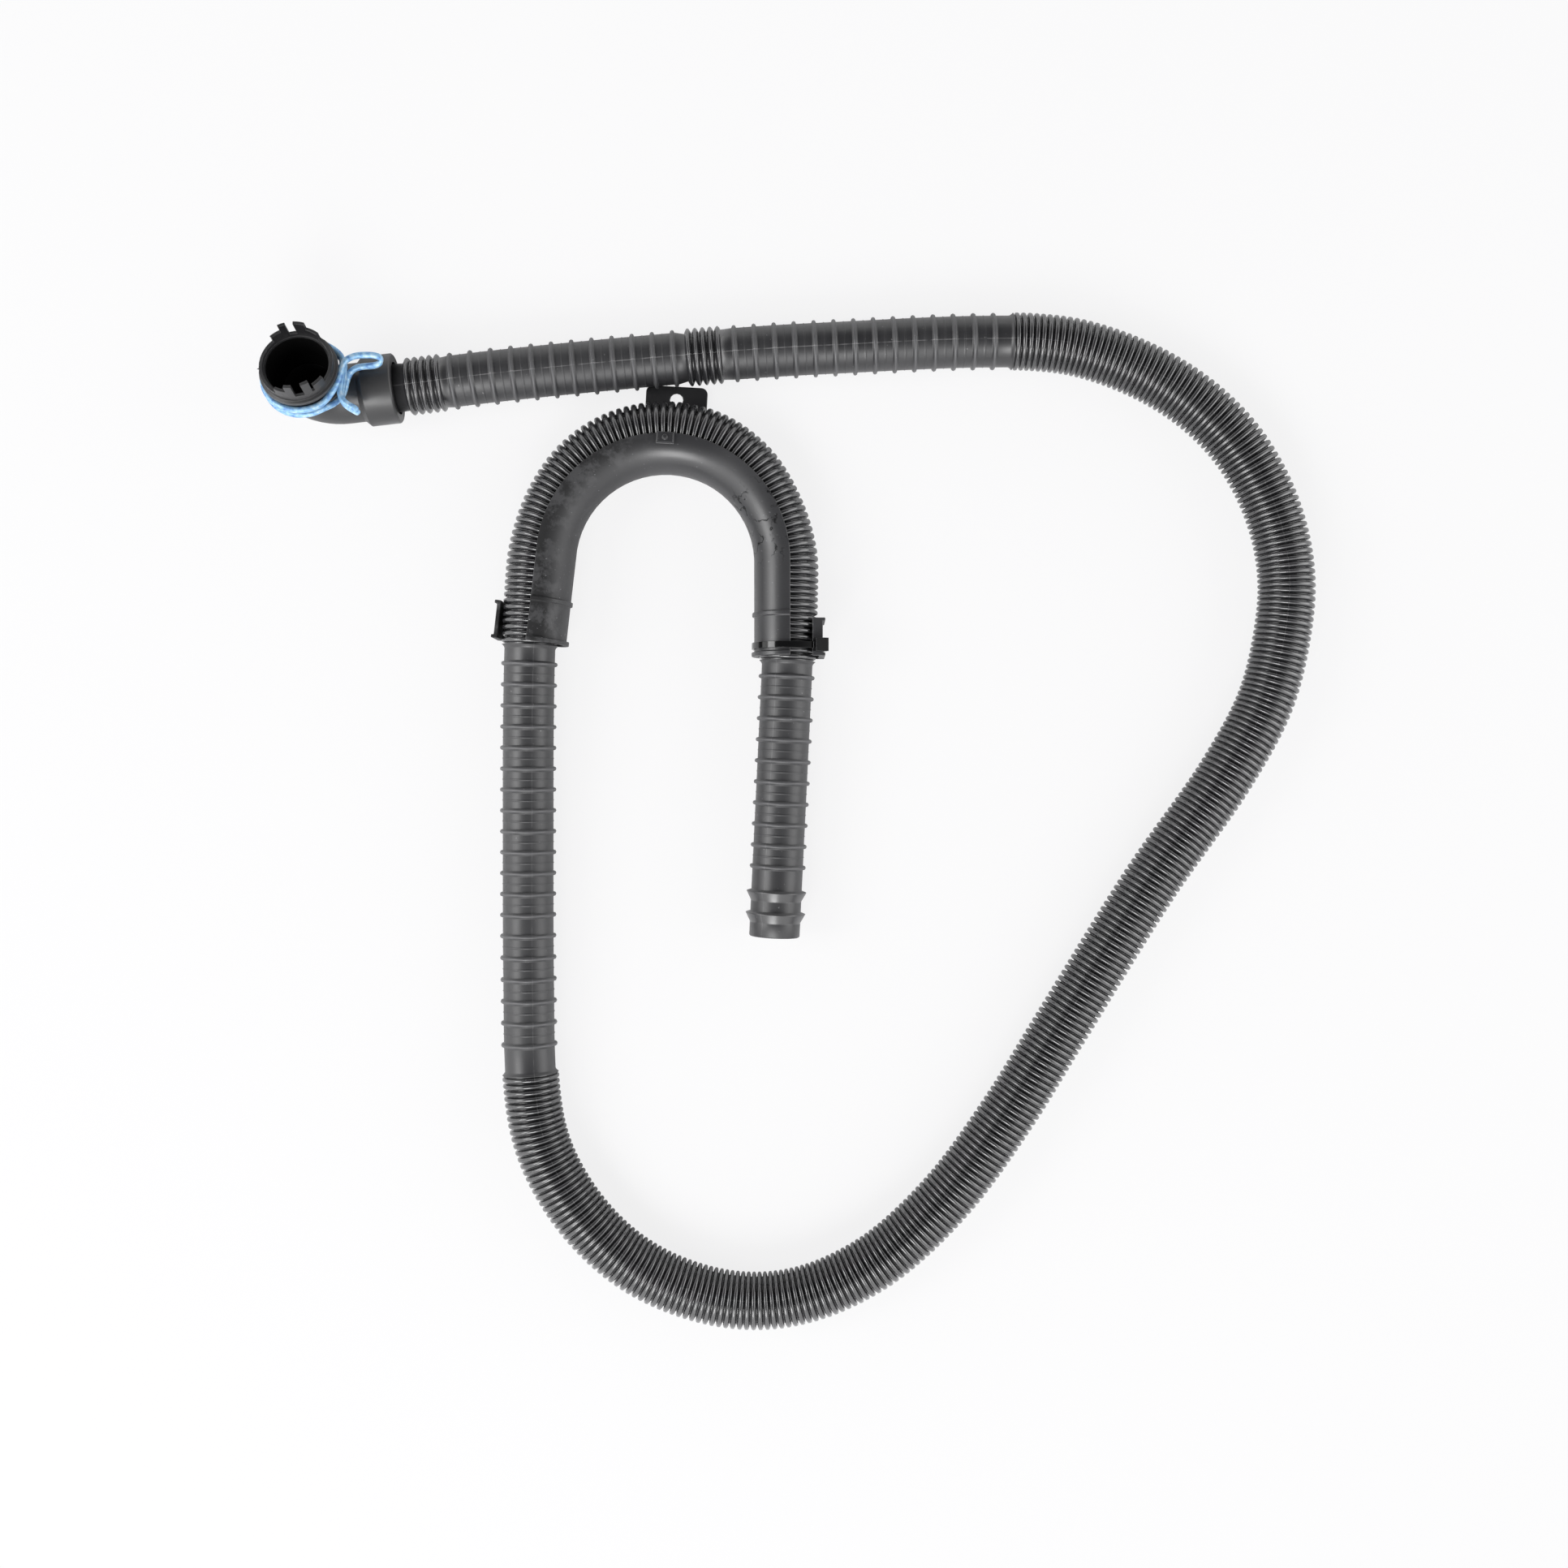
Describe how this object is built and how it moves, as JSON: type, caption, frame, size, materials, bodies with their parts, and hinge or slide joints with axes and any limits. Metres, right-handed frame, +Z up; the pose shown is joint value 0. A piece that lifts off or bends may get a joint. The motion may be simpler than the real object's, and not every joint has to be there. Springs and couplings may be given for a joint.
{
  "type": "appliance_hose",
  "caption": "Black corrugated washing machine drain hose with a rubber elbow, blue spring clamp, U hanger with holed tab, and a cable tie",
  "frame": {"origin": "on the floor, under the middle of the box round the elbow, clamp, hanger and tie", "axes": "+Z up off the floor the assembly lies on, +X from the elbow towards the free right leg, +Y from the outlet towards the elbow"},
  "size_m": [0.5819, 0.567, 0.07],
  "materials": {
    "hose_plastic": "satin black polypropylene",
    "elbow_rubber": "moulded black rubber",
    "clamp_steel": "light blue passivated spring wire",
    "hanger_plastic": "satin black polypropylene with light scuffs",
    "tie_nylon": "glossy black nylon"
  },
  "bodies": {
    "root": {"hose": "hose_plastic", "elbow": "elbow_rubber", "spring_clamp": "clamp_steel", "hanger": "hanger_plastic", "cable_tie": "tie_nylon"}
  },
  "joints": []
}
